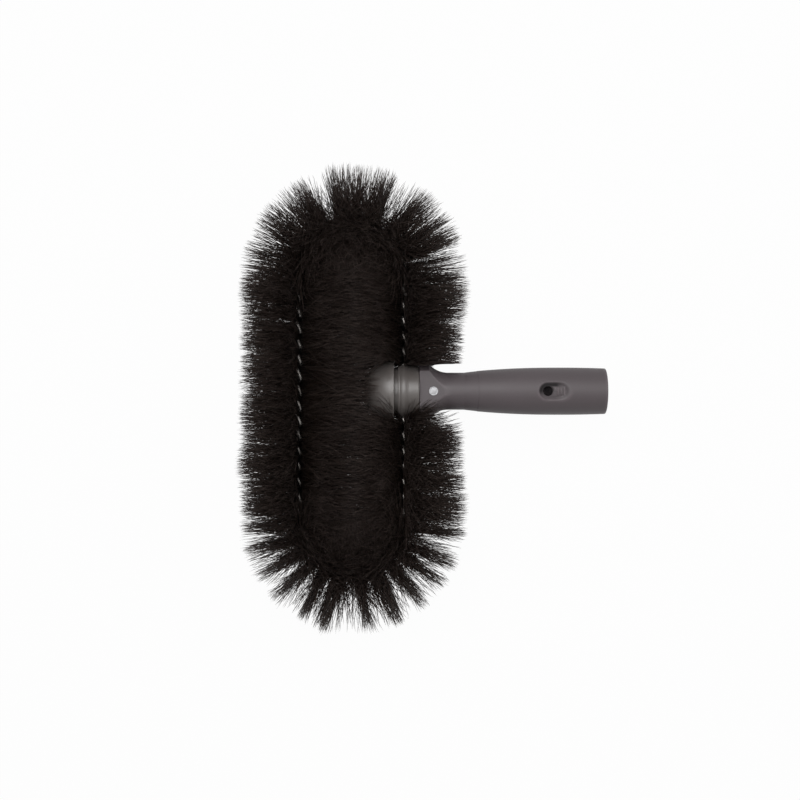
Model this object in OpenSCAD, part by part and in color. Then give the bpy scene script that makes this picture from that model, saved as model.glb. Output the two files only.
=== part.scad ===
// Cobweb brush: a loop of twisted wire filled with bristles, held by a hub on a pole socket.
// The origin is the middle of the socket's mouth. +X leaves the socket as the pole does,
// +Y runs along the loop's long side and +Z points up from the surface the brush lies on.

/* [Pole socket] */
// Distance from the socket's mouth to the flange face
handle_len = 139.4; // [136:0.2:160]
// Largest diameter of the grip
grip_d = 35.4; // [34.6:0.2:40]
// Distance from the mouth to the largest diameter
grip_at = 34; // [28:1:40]
// Diameter of the grip at the mouth
mouth_d = 34.2; // [33:0.2:35]
// Rounding of the mouth's outer edge
mouth_edge = 0.8; // [0.4:0.1:1.2]
// Diameter of the bore that takes the pole
socket_d = 27.6; // [22:0.1:28.4]
// Depth of that bore
socket_depth = 72; // [60:1:76]
// Diameter of the moulding core beyond the bore
core_d = 18; // [12:0.5:20]
// Length of that core
core_len = 22; // [10:1:26]
// Diameter of the hole for the pole's spring button
lock_hole_d = 7.3; // [5:0.1:9]
// Distance from the mouth to that hole
lock_hole_at = 44.5; // [42:0.5:48]
// Length of the oval recess round the hole
recess_len = 24.5; // [20:0.5:30]
// Width of that recess
recess_w = 14; // [11:0.5:16]
// Depth of that recess
recess_depth = 1.2; // [0.6:0.1:1.6]
// Distance from the mouth to the middle of the recess
recess_at = 39.3; // [36:0.1:42]

/* [Neck and flange] */
// Diameter of the neck
neck_d = 27.8; // [27:0.2:30]
// Distance from the mouth at which the neck starts to swell into the grip
swell_at = 106; // [100:1:110]
// Diameter of the flange
flange_d = 40.8; // [36:0.2:44]
// Straight rim of the flange
flange_t = 7.4; // [5:0.2:10]
// Radius of the hollow flare from the flange down to the neck
flare_r = 18.7; // [14:0.1:22]
// Distance between the two flats cut across the flange
flats_d = 27.5; // [26.4:0.1:27.8]
// Distance from the mouth to the end of the flats
flats_at = 95.5; // [92:0.5:100]
// Diameter of the round badge
badge_d = 6.8; // [4:0.1:9]
// Thickness of the badge
badge_t = 0.8; // [0.5:0.1:1.2]
// Depth of the badge's seat in the flat
badge_seat = 0.4; // [0.2:0.1:0.6]
// Distance from the flange face to the badge's middle
badge_at = 10.5; // [7:0.1:12]

/* [Hub] */
// Diameter of the collar that holds the wire ends
collar_d = 38.2; // [37:0.2:42]
// Width of the collar
collar_w = 15.2; // [13:0.2:18]
// Gap left between the collar and the flange
seam_gap = 0.6; // [0.3:0.1:1.2]
// Height of the half-round ridge over the wire
ridge_h = 0.8; // [0.4:0.1:1.2]
// Width of that ridge
ridge_w = 6.4; // [4:0.2:8]
// Diameter of the collar's neck, the floor of the groove
collar_neck_d = 34; // [31:0.2:36]
// Width of the groove between the collar and the cap
groove_w = 3; // [2:0.2:4]
// Diameter of the domed cap
cap_d = 47.2; // [44:0.2:48.6]
// Wall of the domed cap
cap_wall = 2.6; // [2:0.1:3]
// Distance that the collar's neck reaches into the cap
cap_seat = 3; // [2.8:0.1:4]
// Diameter of the boss inside the cap
boss_d = 24; // [20:0.5:28]
// Diameter of the handle's spigot
spigot_d = 16; // [14:0.2:16.6]
// Width of the two keys on the spigot
key_w = 3; // [2:0.1:4]
// Height of those keys
key_h = 1; // [0.6:0.1:1.4]
// Diameter of the ring that locates the collar in the flange
register_d = 23; // [22:0.2:24]
// Length of that ring inside the flange
register_len = 2.5; // [1.5:0.1:3]
// Clearance between parts that slide together, on the radius
slip = 0.15; // [0.1:0.01:0.2]

/* [Screw and ferrules] */
// Diameter of the hub screw
screw_d = 5; // [4:0.1:5.6]
// Length of the screw under its head
screw_len = 50; // [40:1:56]
// Diameter of the screw's head
screw_head_d = 9.5; // [8:0.1:10]
// Height of the screw's head
screw_head_h = 3.4; // [2.6:0.1:3.6]
// Diameter of the washer
washer_d = 10.6; // [10.2:0.1:11]
// Thickness of the washer
washer_t = 1; // [0.6:0.1:1.4]
// Depth of the screw's counterbore below the cap's crown
counterbore = 6.2; // [5.8:0.1:7]
// Outer diameter of a ferrule
ferrule_d = 7.4; // [7.2:0.1:7.6]
// Wall of a ferrule
ferrule_wall = 0.8; // [0.6:0.05:0.9]
// Diameter of a ferrule's head
ferrule_head_d = 11.4; // [10:0.1:12]
// Thickness of that head
ferrule_head_t = 2.4; // [1.6:0.1:3]

/* [Wire loop] */
// Diameter of one wire
wire_d = 2.5; // [2:0.1:2.6]
// Gap between the two wires, where the bristles are clamped
wire_gap = 0.3; // [0.3:0.05:0.4]
// Length along the loop of one full twist
twist_pitch = 23; // [22:0.5:27]
// Distance from the collar's left edge to the wire's axis
wire_in = 4.6; // [4.4:0.1:5]
// Radius of the two end bends, half the loop's width
bend_r = 39.4; // [36:0.2:44]
// Distance from the pole's axis to the centre of the upper bend
run_up = 85.6; // [70:0.2:100]
// Distance from the pole's axis to the centre of the lower bend
run_down = 98.1; // [80:0.2:110]

/* [Bristles] */
// Distance from the wire's axis to the bristle tips
bristle_reach = 44.5; // [40:0.5:50]
// Distance from the pole's axis to the first bristles beside the hub
bristle_start = 25; // [24.8:0.2:30]
// Pairs of bristle bundles on the wire in every five turns of its twist
pairs_in_cycle = 32; // [30:2:34]
// Width of a bundle at its tip
bundle_tip = 1.1; // [0.8:0.05:1.2]
// Width of a bundle where it leaves the wires
bundle_root = 0.36; // [0.3:0.02:0.4]
// Space left between bundles that meet in the middle of the loop
middle_gap = 2; // [1.6:0.1:4]
// Space left free round the centre of each bend
centre_gap = 9; // [8:0.5:14]
// Depth to which the lowest bristles are pressed flat
foot_cut = 0.5; // [0.5:0.1:1]

/* [Hidden] */
$fn = 96;

// Stations along the pole's axis, from the mouth towards the cap
flange_x = -handle_len;
collar_x = flange_x - seam_gap;
collar_end_x = collar_x - collar_w;
cap_x = collar_end_x - groove_w;
neck_end_x = cap_x - cap_seat;
crown_x = cap_x - cap_d / 2;
screw_seat_x = crown_x + counterbore;
register_x = flange_x + register_len;
wire_x = collar_end_x + wire_in;
rim_x = flange_x + flange_t;

// The flare meets the neck where its arc is level
flare_drop = (flange_d - neck_d) / 2;
flare_end_x = rim_x + sqrt(flare_drop * (2 * flare_r - flare_drop));
swell_power = 2.4;
swell_steps = 18;
taper_steps = 6;

flat_z = flats_d / 2;
flat_runout = 5;
spigot_gap = 0.6;
pilot_slip = 0.05;
edge = 0.5;
cap_rim_t = cap_seat - 0.4;
head_slip = 0.3;
far = 60;

// Wires, their twist and the route of the loop
wire_r = wire_d / 2;
wire_offset = (wire_d + wire_gap) / 2;
ferrule_bore_d = ferrule_d - 2 * ferrule_wall;
ferrule_in_y = spigot_d / 2 + head_slip;
ferrule_out_y = collar_d / 2 - edge;
wire_end_y = ferrule_in_y + head_slip;
wire_sides = 6;
rings_a_turn = 6;
bend_len = PI * bend_r;
side_len = run_up + run_down;
top_s = run_up;
left_s = top_s + bend_len;
bottom_s = left_s + side_len;
right_s = bottom_s + bend_len;
loop_s = right_s + run_down;

// Bristle bundles, on one even spacing all round the loop, so that each run has upright ones
cycle_turns = 5;
pair_step = twist_pitch * cycle_turns / pairs_in_cycle;
root_half = bundle_root / 2;
root_out = 0.3;
root_len = 0.5;
node_gap = 0.3;
tip_half = bundle_tip / 2;
tip_stray = 0.7;
length_stray = 1.2;
stray_turn = 137.5;
foot_z = foot_cut - bristle_reach;

// Heading of the loop at arc length s: the angle of its outward normal
function heading(s) =
    s < top_s ? 0 :
    s < left_s ? (s - top_s) / bend_r * 180 / PI :
    s < bottom_s ? 180 :
    s < right_s ? 180 + (s - bottom_s) / bend_r * 180 / PI : 360;

// Point of the loop's centre line at arc length s, from beside the pole's axis going up
function spot(s) =
    s < top_s ? [wire_x, s, 0] :
    s < left_s ? [wire_x - bend_r, run_up, 0] + bend_r * out_dir(s) :
    s < bottom_s ? [wire_x - 2 * bend_r, run_up - (s - left_s), 0] :
    s < right_s ? [wire_x - bend_r, -run_down, 0] + bend_r * out_dir(s) :
    [wire_x, s - loop_s, 0];

function out_dir(s) = [cos(heading(s)), sin(heading(s)), 0];
function run_dir(s) = [-sin(heading(s)), cos(heading(s)), 0];

// Twist of the wires at arc length s, and the direction that lies a given angle round the wire
function twist(s) = 360 * s / twist_pitch;
function around(s, angle) = cos(angle) * out_dir(s) + [0, 0, sin(angle)];

// Two triangles of a four-cornered patch, split along its shorter diagonal
function patch(pts, a, b, c, d) =
    norm(pts[a] - pts[c]) < norm(pts[b] - pts[d]) ?
        [[a, b, c], [a, c, d]] : [[a, b, d], [b, c, d]];

function flat_list(lists) = [for (l = lists) for (item = l) item];

// One wire: rings at arc lengths stops, each turned as far as the twist says at arc length turns
wire_step = twist_pitch / rings_a_turn;
wire_from = wire_end_y + wire_d;
wire_to = loop_s - wire_end_y - wire_d;
wire_count = ceil((wire_to - wire_from) / wire_step);
wire_turns = [for (i = [-1 : wire_count + 1])
    wire_from + min(max(i, 0), wire_count) * (wire_to - wire_from) / wire_count];
wire_stops = [for (i = [0 : wire_count + 2])
    i == 0 ? wire_end_y : i == wire_count + 2 ? loop_s - wire_end_y : wire_turns[i]];
helix_tilt = atan(2 * PI * wire_offset / twist_pitch);

function wire_centre(i, side) =
    spot(wire_stops[i]) + wire_offset * around(wire_stops[i], twist(wire_turns[i]) + side);

// Ends are square to the run, and the rings between lean with the helix
function wire_ring(i, side) =
    let (s = wire_stops[i], angle = twist(wire_turns[i]) + side,
        lean = i < 2 || i > wire_count ? 0 : helix_tilt,
        up = around(s, angle), across = cos(lean) * around(s, angle + 90) - sin(lean) * run_dir(s))
    [for (k = [0 : wire_sides - 1]) let (a = (k + 0.5) * 360 / wire_sides)
        wire_centre(i, side) + wire_r * (cos(a) * up + sin(a) * across)];

module twisted_wire(side) {
    last = wire_count + 2;
    pts = flat_list([for (i = [0 : last]) wire_ring(i, side)]);
    walls = [for (i = [0 : last - 1]) for (k = [0 : wire_sides - 1])
        let (m = (k + 1) % wire_sides, a = i * wire_sides, b = a + wire_sides)
        each patch(pts, a + k, a + m, b + m, b + k)];
    ends = [for (k = [1 : wire_sides - 2]) each [[0, k + 1, k],
        [last * wire_sides, last * wire_sides + k, last * wire_sides + k + 1]]];
    polyhedron(points = pts, faces = concat(walls, ends));
}

// Least gap between turns of one wire, over points more than half a turn apart along it
wire_spots = [for (i = [0 : wire_count + 2]) wire_centre(i, 0)];
wire_least_gap = min([for (i = [0 : wire_count + 2]) for (j = [i + 4 : 1 : wire_count + 2])
    norm(wire_spots[i] - wire_spots[j])]) - wire_d;
echo(str("wire: least gap of a strand to itself ", wire_least_gap, " mm"));

// A bundle's length: short where it points into the loop, so that bundles never cross
function stray(i) = sin(i * stray_turn);
function bundle_len(s, angle, i) =
    let (bend = (s > top_s && s < left_s) || (s > bottom_s && s < right_s),
        inward = -cos(angle), room = bend ? bend_r - centre_gap : bend_r - middle_gap / 2,
        reach = bristle_reach - length_stray * abs(stray(i)) * (abs(inward) > 0.2 ? 1 : 0))
    inward > 0.05 ? min(reach, room / inward) : reach;

// Corners of the clamped root at arc length s: two beside each face that bundles leave from
function root_ring(s) =
    let (w = root_half * around(s, twist(s)), d = root_out * around(s, twist(s) + 90))
    [for (c = [d + w, d - w, -d - w, w - d]) spot(s) + c];

// Four corners of a bundle's tip, in the order of the patch that it grows from
function tip_ring(s, side, i) =
    let (angle = twist(s) + 90 + side, w = tip_half * around(s, twist(s) + side),
        t = tip_half * run_dir(s), len = bundle_len(s, angle, i),
        c = spot(s) + len * around(s, angle) + tip_stray * stray(i + side) * run_dir(s))
    [c + w - t, c - w - t, c - w + t, c + w + t];

// A run of bristles from arc length from_s to to_s, in one piece with its clamped root
module bristle_run(from_s, to_s) {
    a = from_s + node_gap / 2;
    b = to_s - node_gap / 2;
    first = ceil((a + root_len) / pair_step);
    count = floor((b - root_len) / pair_step) - first + 1;
    mids = [for (i = [0 : count - 1]) (first + i) * pair_step];
    stops = concat([a], [for (m = mids) each [m - root_len / 2, m + root_len / 2]], [b]);
    last = len(stops) - 1;
    roots = flat_list([for (s = stops) root_ring(s)]);
    tips = flat_list([for (i = [0 : count - 1]) for (side = [0, 180])
        tip_ring(mids[i], side, first + i)]);
    pts = concat(roots, tips);
    walls = [for (i = [0 : last - 1]) for (k = [0 : 3])
        let (m = (k + 1) % 4, p = 4 * i, bundle = i % 2 == 1 && k % 2 == 0,
            base = [p + k, p + m, p + m + 4, p + k + 4],
            tip = 4 * (last + 1) + 8 * floor(i / 2) + 2 * k)
        each bundle ? bundle_faces(pts, base, tip) : patch(pts, base[0], base[1], base[2], base[3])];
    ends = [[2, 1, 0], [3, 2, 0], [0, 1, 2] + 4 * last * [1, 1, 1], [0, 2, 3] + 4 * last * [1, 1, 1]];
    polyhedron(points = pts, faces = concat(walls, ends));
}

function bundle_faces(pts, base, tip) = concat(
    [for (k = [0 : 3]) let (m = (k + 1) % 4) each patch(pts, base[k], base[m], tip + m, tip + k)],
    [[tip, tip + 1, tip + 2], [tip, tip + 2, tip + 3]]);

module bristles(from_s, to_s) {
    color("#1c1816") difference() {
        bristle_run(from_s, to_s);
        translate([wire_x - bend_r, 0, foot_z - far / 2])
            cube([6 * bend_r, 2 * (side_len + bend_r), far], center = true);
    }
}

// Outline of the grip from the neck's swell to the mouth, as [radius, station] points
function grip_outline() = concat(
    [for (i = [0 : swell_steps]) let (t = i / swell_steps)
        [neck_d / 2 + (grip_d - neck_d) / 2 * (1 - pow(1 - t, swell_power)),
         -swell_at + t * (swell_at - grip_at)]],
    [for (i = [1 : taper_steps]) let (t = i / taper_steps)
        [grip_d / 2 - (grip_d - mouth_d) / 2 * t * t, -grip_at + t * (grip_at - mouth_edge)]],
    [[mouth_d / 2 - mouth_edge, 0]]);

// Turns a profile of [radius, station] round the pole's axis
module lathe() {
    rotate([0, 90, 0]) rotate_extrude() children();
}

module rod(d, from_x, to_x) {
    translate([from_x, 0, 0]) rotate([0, 90, 0]) cylinder(d = d, h = to_x - from_x);
}

module cone(d1, d2, from_x, to_x) {
    translate([from_x, 0, 0]) rotate([0, 90, 0]) cylinder(d1 = d1, d2 = d2, h = to_x - from_x);
}

// Flange, hollow flare, neck and grip, turned in one piece
module turned_body() {
    lathe() difference() {
        polygon(concat([[0, flange_x], [flange_d / 2 - edge, flange_x], [flange_d / 2, flange_x + edge],
            [flange_d / 2, rim_x], [flange_d / 2, flare_end_x], [neck_d / 2, flare_end_x]],
            grip_outline(), [[0, 0]]));
        intersection() {
            translate([neck_d / 2 + flare_r, flare_end_x]) circle(r = flare_r);
            translate([neck_d / 2, rim_x]) square([flare_r, flare_end_x - rim_x]);
        }
    }
}

// Cut that leaves one flat across the flange and runs out in a curve on the grip
module flat_cut() {
    translate([flange_x - edge, -far / 2, flat_z])
        cube([handle_len + edge - flats_at - flat_runout, far, far]);
    translate([-flats_at - flat_runout, far / 2, flat_z + flat_runout]) rotate([90, 0, 0])
        cylinder(r = flat_runout, h = far);
}

module spigot_body() {
    rod(spigot_d, neck_end_x + spigot_gap, register_x);
    for (side = [-1, 1])
        translate([neck_end_x + spigot_gap, -key_w / 2, side > 0 ? 0 : -spigot_d / 2 - key_h])
            cube([register_x - neck_end_x - spigot_gap, key_w, spigot_d / 2 + key_h]);
}

// Oval pocket of even depth below the grip's largest diameter
module recess_cut() {
    half = (recess_len - recess_w) / 2;
    difference() {
        translate([-recess_at, 0, 0]) {
            for (side = [-1, 1]) translate([side * half, 0, 0]) cylinder(d = recess_w, h = far);
            translate([-half, -recess_w / 2, 0]) cube([2 * half, recess_w, far]);
        }
        rod(grip_d - 2 * recess_depth, -recess_at - recess_len, -recess_at + recess_len);
    }
}

module socket_handle() {
    color("#5a595c") difference() {
        union() {
            difference() {
                turned_body();
                flat_cut();
                mirror([0, 0, 1]) flat_cut();
                rod(register_d + 2 * slip, flange_x - edge, register_x);
            }
            spigot_body();
        }
        rod(socket_d, -socket_depth, edge);
        rod(core_d, -socket_depth - core_len, -socket_depth + edge);
        rod(screw_d + 2 * pilot_slip, neck_end_x - edge, screw_seat_x + screw_len);
        translate([-lock_hole_at, 0, 0]) cylinder(d = lock_hole_d, h = far);
        recess_cut();
        translate([flange_x + badge_at, 0, flat_z - badge_seat]) cylinder(d = badge_d + 2 * slip, h = far);
    }
}

module badge() {
    color("#d4d6dc") translate([flange_x + badge_at, 0, flat_z - badge_seat])
        cylinder(d = badge_d, h = badge_t);
}

module collar_body() {
    ridge_r = (pow(ridge_w / 2, 2) + pow(ridge_h, 2)) / (2 * ridge_h);
    difference() {
        union() {
            rod(collar_neck_d, neck_end_x, collar_end_x + edge);
            rod(collar_d, collar_end_x, collar_x - edge);
            cone(collar_d, collar_d - 2 * edge, collar_x - edge, collar_x);
            rod(register_d, collar_x - edge, register_x);
            lathe() intersection() {
                translate([collar_d / 2 + ridge_h - ridge_r, wire_x]) circle(r = ridge_r);
                translate([collar_d / 4, wire_x - ridge_w / 2])
                    square([collar_d / 4 + ridge_h, ridge_w]);
            }
        }
        rod(spigot_d + 2 * slip, neck_end_x - edge, register_x + edge);
        translate([neck_end_x - edge, -key_w / 2 - slip, -spigot_d / 2 - key_h - slip])
            cube([register_x - neck_end_x + 2 * edge, key_w + 2 * slip, spigot_d + 2 * key_h + 2 * slip]);
        for (side = [-90, 90]) translate([wire_x, 0, 0]) rotate([side, 0, 0]) {
            cylinder(d = ferrule_d + 2 * slip, h = far);
            cylinder(d = ferrule_head_d + 2 * slip, h = ferrule_in_y + ferrule_head_t + slip);
        }
    }
}

// Half of the collar, on the side of the wire loop that front is 1 or -1 for
module collar_half(front) {
    intersection() {
        collar_body();
        translate([neck_end_x - edge, -far, front > 0 ? 0 : -far]) cube([2 * far, 2 * far, far]);
    }
}

module collar_front_half() { color("#5f5e60") collar_half(1); }
module collar_rear_half() { color("#555457") collar_half(-1); }

module nose_cap() {
    inner_r = cap_d / 2 - cap_wall;
    color("#4e4d50") difference() {
        lathe() difference() {
            intersection() {
                translate([0, cap_x]) circle(d = cap_d);
                translate([0, cap_x - cap_d]) square([cap_d, cap_d]);
            }
            difference() {
                intersection() {
                    translate([0, cap_x]) circle(r = inner_r);
                    translate([0, cap_x - cap_d]) square([cap_d, cap_d - cap_rim_t]);
                }
                translate([0, cap_x - cap_d]) square([boss_d / 2, cap_d]);
            }
            translate([0, neck_end_x]) square([collar_neck_d / 2 + slip, cap_seat + edge]);
        }
        rod(screw_d + 2 * slip, crown_x - edge, cap_x + edge);
        rod(washer_d + 4 * slip, crown_x - edge, screw_seat_x);
    }
}

module hub_screw() {
    color("#a8aaae") difference() {
        union() {
            rod(screw_d, screw_seat_x - washer_t, screw_seat_x + screw_len - edge);
            cone(screw_head_d - 2 * edge, screw_head_d,
                screw_seat_x - washer_t - screw_head_h, screw_seat_x - washer_t - screw_head_h + edge);
            rod(screw_head_d, screw_seat_x - washer_t - screw_head_h + edge, screw_seat_x - washer_t);
        }
        for (turn = [0, 90]) translate([screw_seat_x - washer_t - screw_head_h, 0, 0]) rotate([turn, 0, 0])
            cube([screw_head_h, 1.1, 0.55 * screw_head_d], center = true);
    }
}

module hub_washer() {
    color("#b4b6ba") difference() {
        rod(washer_d, screw_seat_x - washer_t, screw_seat_x);
        rod(screw_d + 2 * slip, screw_seat_x - washer_t - edge, screw_seat_x + edge);
    }
}

module ferrule(side) {
    color("#9fa1a6") translate([wire_x, 0, 0]) rotate([-90 * side, 0, 0]) difference() {
        union() {
            translate([0, 0, ferrule_in_y]) cylinder(d = ferrule_d, h = ferrule_out_y - ferrule_in_y);
            translate([0, 0, ferrule_in_y]) cylinder(d = ferrule_head_d, h = ferrule_head_t);
        }
        translate([0, 0, ferrule_in_y - edge]) cylinder(d = ferrule_bore_d, h = collar_d);
    }
}

module upper_ferrule() { ferrule(1); }
module lower_ferrule() { ferrule(-1); }
module wire_strand_a() { color("#8e8f92") twisted_wire(0); }
module wire_strand_b() { color("#8e8f92") twisted_wire(180); }
module bristles_right_upper() { bristles(bristle_start, top_s); }
module bristles_top_bend() { bristles(top_s, left_s); }
module bristles_left_run() { bristles(left_s, bottom_s); }
module bristles_bottom_bend() { bristles(bottom_s, right_s); }
module bristles_right_lower() { bristles(right_s, loop_s - bristle_start); }

socket_handle();
badge();
collar_front_half();
collar_rear_half();
nose_cap();
hub_screw();
hub_washer();
upper_ferrule();
lower_ferrule();
wire_strand_a();
wire_strand_b();
bristles_right_upper();
bristles_top_bend();
bristles_left_run();
bristles_bottom_bend();
bristles_right_lower();
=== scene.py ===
"""Looks of a cobweb brush: pole socket, hub, loop of twisted wire and its fibres.

Shapes are worked out in millimetres, in the frame of the CAD model, and made metres in the mesh.
The pole's axis is X, with the socket's mouth at 0. The loop lies in the plane of X and Y.
"""

import bmesh
import bpy
import numpy as np
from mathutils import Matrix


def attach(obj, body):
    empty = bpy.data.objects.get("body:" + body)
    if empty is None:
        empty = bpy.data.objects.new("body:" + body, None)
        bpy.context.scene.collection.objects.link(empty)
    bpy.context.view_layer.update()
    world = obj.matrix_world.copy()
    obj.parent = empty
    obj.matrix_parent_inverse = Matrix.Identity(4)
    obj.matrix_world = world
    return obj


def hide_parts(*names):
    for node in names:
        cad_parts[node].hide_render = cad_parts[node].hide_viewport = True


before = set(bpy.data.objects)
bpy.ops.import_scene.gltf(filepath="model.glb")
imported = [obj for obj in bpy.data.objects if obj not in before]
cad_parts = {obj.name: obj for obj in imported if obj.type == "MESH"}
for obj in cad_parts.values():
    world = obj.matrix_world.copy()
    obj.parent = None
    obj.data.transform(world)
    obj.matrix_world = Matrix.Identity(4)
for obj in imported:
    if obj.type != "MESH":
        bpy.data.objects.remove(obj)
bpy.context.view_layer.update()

MM = 0.001
PI = np.pi

# Stations along the pole's axis
FLANGE_X = -139.4
RIM_X = -132.0
FLARE_END_X = -117.83
NECK_STEP_X = -95.6
COLLAR_X = -140.0
COLLAR_END_X = -155.2
CAP_X = -158.2
SPIGOT_END_X = -160.6
CAP_SEAT_X = -160.8
NECK_END_X = -161.2
CROWN_X = -181.8
SCREW_SEAT_X = -175.6
REGISTER_X = -136.9
WIRE_X = -150.6
MOUTH_EDGE = 0.8
RIM_EDGE = 0.6

# Pole socket
NECK_R = 13.9
GRIP_R = 17.7
MOUTH_R = 17.1
GRIP_AT = -34.0
SWELL_AT = -106.0
FLANGE_R = 20.4
FLARE_R = 18.7
SOCKET_R = 13.8
SOCKET_DEPTH = -72.0
CORE_R = 9.0
CORE_END = -94.0
FLAT_Z = 13.75
FLATS_RISE_AT = -109.5
FLATS_RISE_LENGTH = 12.0
SPIGOT_R = 8.0
SPIGOT_EDGE = 0.4
PILOT_R = 2.55
PILOT_END = -125.6
REGISTER_R = 11.65
LOCK_HOLE_AT = -44.5
LOCK_HOLE_R = 3.65
POCKET_AT = -39.3
POCKET_HALF = 5.25
POCKET_R = 7.0
POCKET_FLOOR_R = 16.0
POCKET_WALL = 1.7
POCKET_SLOPE = 6.5
RIBS_AT = (-37.2, -34.9, -32.6)
RIB_H = 0.4
BADGE_AT = -128.9
BADGE_R = 3.4

# Hub
COLLAR_R = 19.1
COLLAR_NECK_R = 17.0
COLLAR_BORE_R = 8.15
COLLAR_RING_R = 11.5
SHOULDER_R = 18.1
SEAM = 0.06
RIDGE_H = 0.8
RIDGE_W = 6.4
CAP_R = 23.6
CAP_IN_R = 21.0
CAP_SEAT_R = 17.15
BOSS_R = 12.0
SCREW_HOLE_R = 2.65
SCREW_WELL_R = 5.6
FERRULE_HOLE_R = 3.85
FERRULE_HEAD_R = 5.85
FERRULE_HEAD_OUT = 10.85

# Wires and the route of the loop
WIRE_R = 1.25
WIRE_OFFSET = 1.4
WIRE_END = 8.6
WIRE_STEPS = 720
WIRE_SIDES = 14
PITCH = 23.0
BEND_R = 39.4
RUN_UP = 85.6
RUN_DOWN = 98.1
TOP_S = RUN_UP
LEFT_S = TOP_S + PI * BEND_R
BOTTOM_S = LEFT_S + RUN_UP + RUN_DOWN
RIGHT_S = BOTTOM_S + PI * BEND_R
LOOP_S = RIGHT_S + RUN_DOWN

# Fibres, in wisps of four to a side for each stretch of the run
REACH = 46.0
FLOOR_Z = -44.0
FIBRES_FROM = 18.8
FIBRES_PER_MM = 100.0
WISP_LENGTH = 0.85
WISPS = 4
UPPER_EDGE_Y = 19.3

# Shares of a fibre's length where it has its rings and its tip, and how thick the rings are
STATIONS = np.array([0.0, 0.2, 0.45, 0.72, 0.93, 1.0])
TAPER = np.array([1.0, 1.0, 0.95, 0.88, 0.7])

# Where the outer fibres are longer or shorter: arc length, share, and over how many millimetres
FULLER = [(80, 0.11, 30), (BOTTOM_S + 42, -0.03, 4), (BOTTOM_S + 54.5, 0.045, 5), (BOTTOM_S + 67, -0.1, 5),
    (BOTTOM_S - 45, 0.05, 35), (RIGHT_S + 2, 0.1, 26), (LOOP_S - 50, 0.05, 20)]


# ---------------------------------------------------------------- meshes

def mesh_piece(name, points, faces, finish, crease=30.0, values=None, bake_map=None):
    """A piece from points in millimetres and lists of faces, each an array of rows of corners.

    Faces are turned outwards where the enclosed volume, the sum of a . (b x c) / 6 over the
    fan of every face, comes out negative.
    """
    points = np.ascontiguousarray(np.asarray(points, float).reshape(-1, 3))
    volume = 0.0
    for rows in faces:
        for k in range(1, rows.shape[1] - 1):
            a, b, c = points[rows[:, 0]], points[rows[:, k]], points[rows[:, k + 1]]
            volume += np.einsum("ij,ij->", a, np.cross(b, c))
    if volume < 0:
        faces = [rows[:, ::-1] for rows in faces]
        if bake_map is not None:
            bake_map = [part[:, ::-1] for part in bake_map]
    mesh = bpy.data.meshes.new(name)
    mesh.vertices.add(len(points))
    mesh.vertices.foreach_set("co", (points * MM).astype(np.float32).ravel())
    corners = np.concatenate([rows.ravel() for rows in faces]).astype(np.int32)
    sizes = np.concatenate([np.full(len(rows), rows.shape[1]) for rows in faces])
    mesh.loops.add(len(corners))
    mesh.loops.foreach_set("vertex_index", corners)
    mesh.polygons.add(len(sizes))
    starts = np.concatenate([[0], np.cumsum(sizes)[:-1]]).astype(np.int32)
    mesh.polygons.foreach_set("loop_start", starts)
    mesh.update(calc_edges=True)
    for key, numbers in (values or {}).items():
        layer = mesh.attributes.new(key, "FLOAT", "POINT")
        layer.data.foreach_set("value", np.asarray(numbers, np.float32).ravel())
    if bake_map is not None:
        flat = np.concatenate([part.reshape(-1, 2) for part in bake_map])
        mesh.uv_layers.new(name="OFBake").uv.foreach_set("vector", flat.astype(np.float32).ravel())
    mesh.polygons.foreach_set("use_smooth", np.ones(len(sizes), bool))
    mesh.set_sharp_from_angle(angle=np.radians(crease))
    mesh.materials.append(finish)
    piece = bpy.data.objects.new(name, mesh)
    bpy.context.scene.collection.objects.link(piece)
    return piece


def grid_faces(rows, cols, close_rows=False, close_cols=False):
    """Quads between neighbours of a grid, with the last row or column joined to the first."""
    i = np.arange(rows if close_rows else rows - 1)[:, None]
    j = np.arange(cols if close_cols else cols - 1)[None, :]
    up, side = (i + 1) % rows, (j + 1) % cols
    return np.stack([i * cols + j, i * cols + side, up * cols + side, up * cols + j], -1).reshape(-1, 4)


def weld(piece, crease=30.0):
    """Joins points that meet, at the poles of a turned form, and drops what is left without area."""
    form = bmesh.new()
    form.from_mesh(piece.data)
    bmesh.ops.remove_doubles(form, verts=form.verts, dist=1e-7)
    bmesh.ops.dissolve_degenerate(form, edges=form.edges, dist=1e-8)
    form.to_mesh(piece.data)
    form.free()
    piece.data.set_sharp_from_angle(angle=np.radians(crease))
    return piece


def carve(piece, cutter, crease=30.0):
    """Takes the cutter's form out of the piece and removes the cutter."""
    cut = piece.modifiers.new("cut", "BOOLEAN")
    cut.operation, cut.solver, cut.object = "DIFFERENCE", "EXACT", cutter
    view = bpy.context.evaluated_depsgraph_get()
    mesh = bpy.data.meshes.new_from_object(piece.evaluated_get(view))
    piece.modifiers.clear()
    old, piece.data = piece.data, mesh
    bpy.data.meshes.remove(old)
    bpy.data.objects.remove(cutter)
    mesh.set_sharp_from_angle(angle=np.radians(crease))
    return piece


def stand_for(piece, node):
    """Shows the piece in place of a CAD node."""
    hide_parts(node)
    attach(piece, "root")


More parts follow.
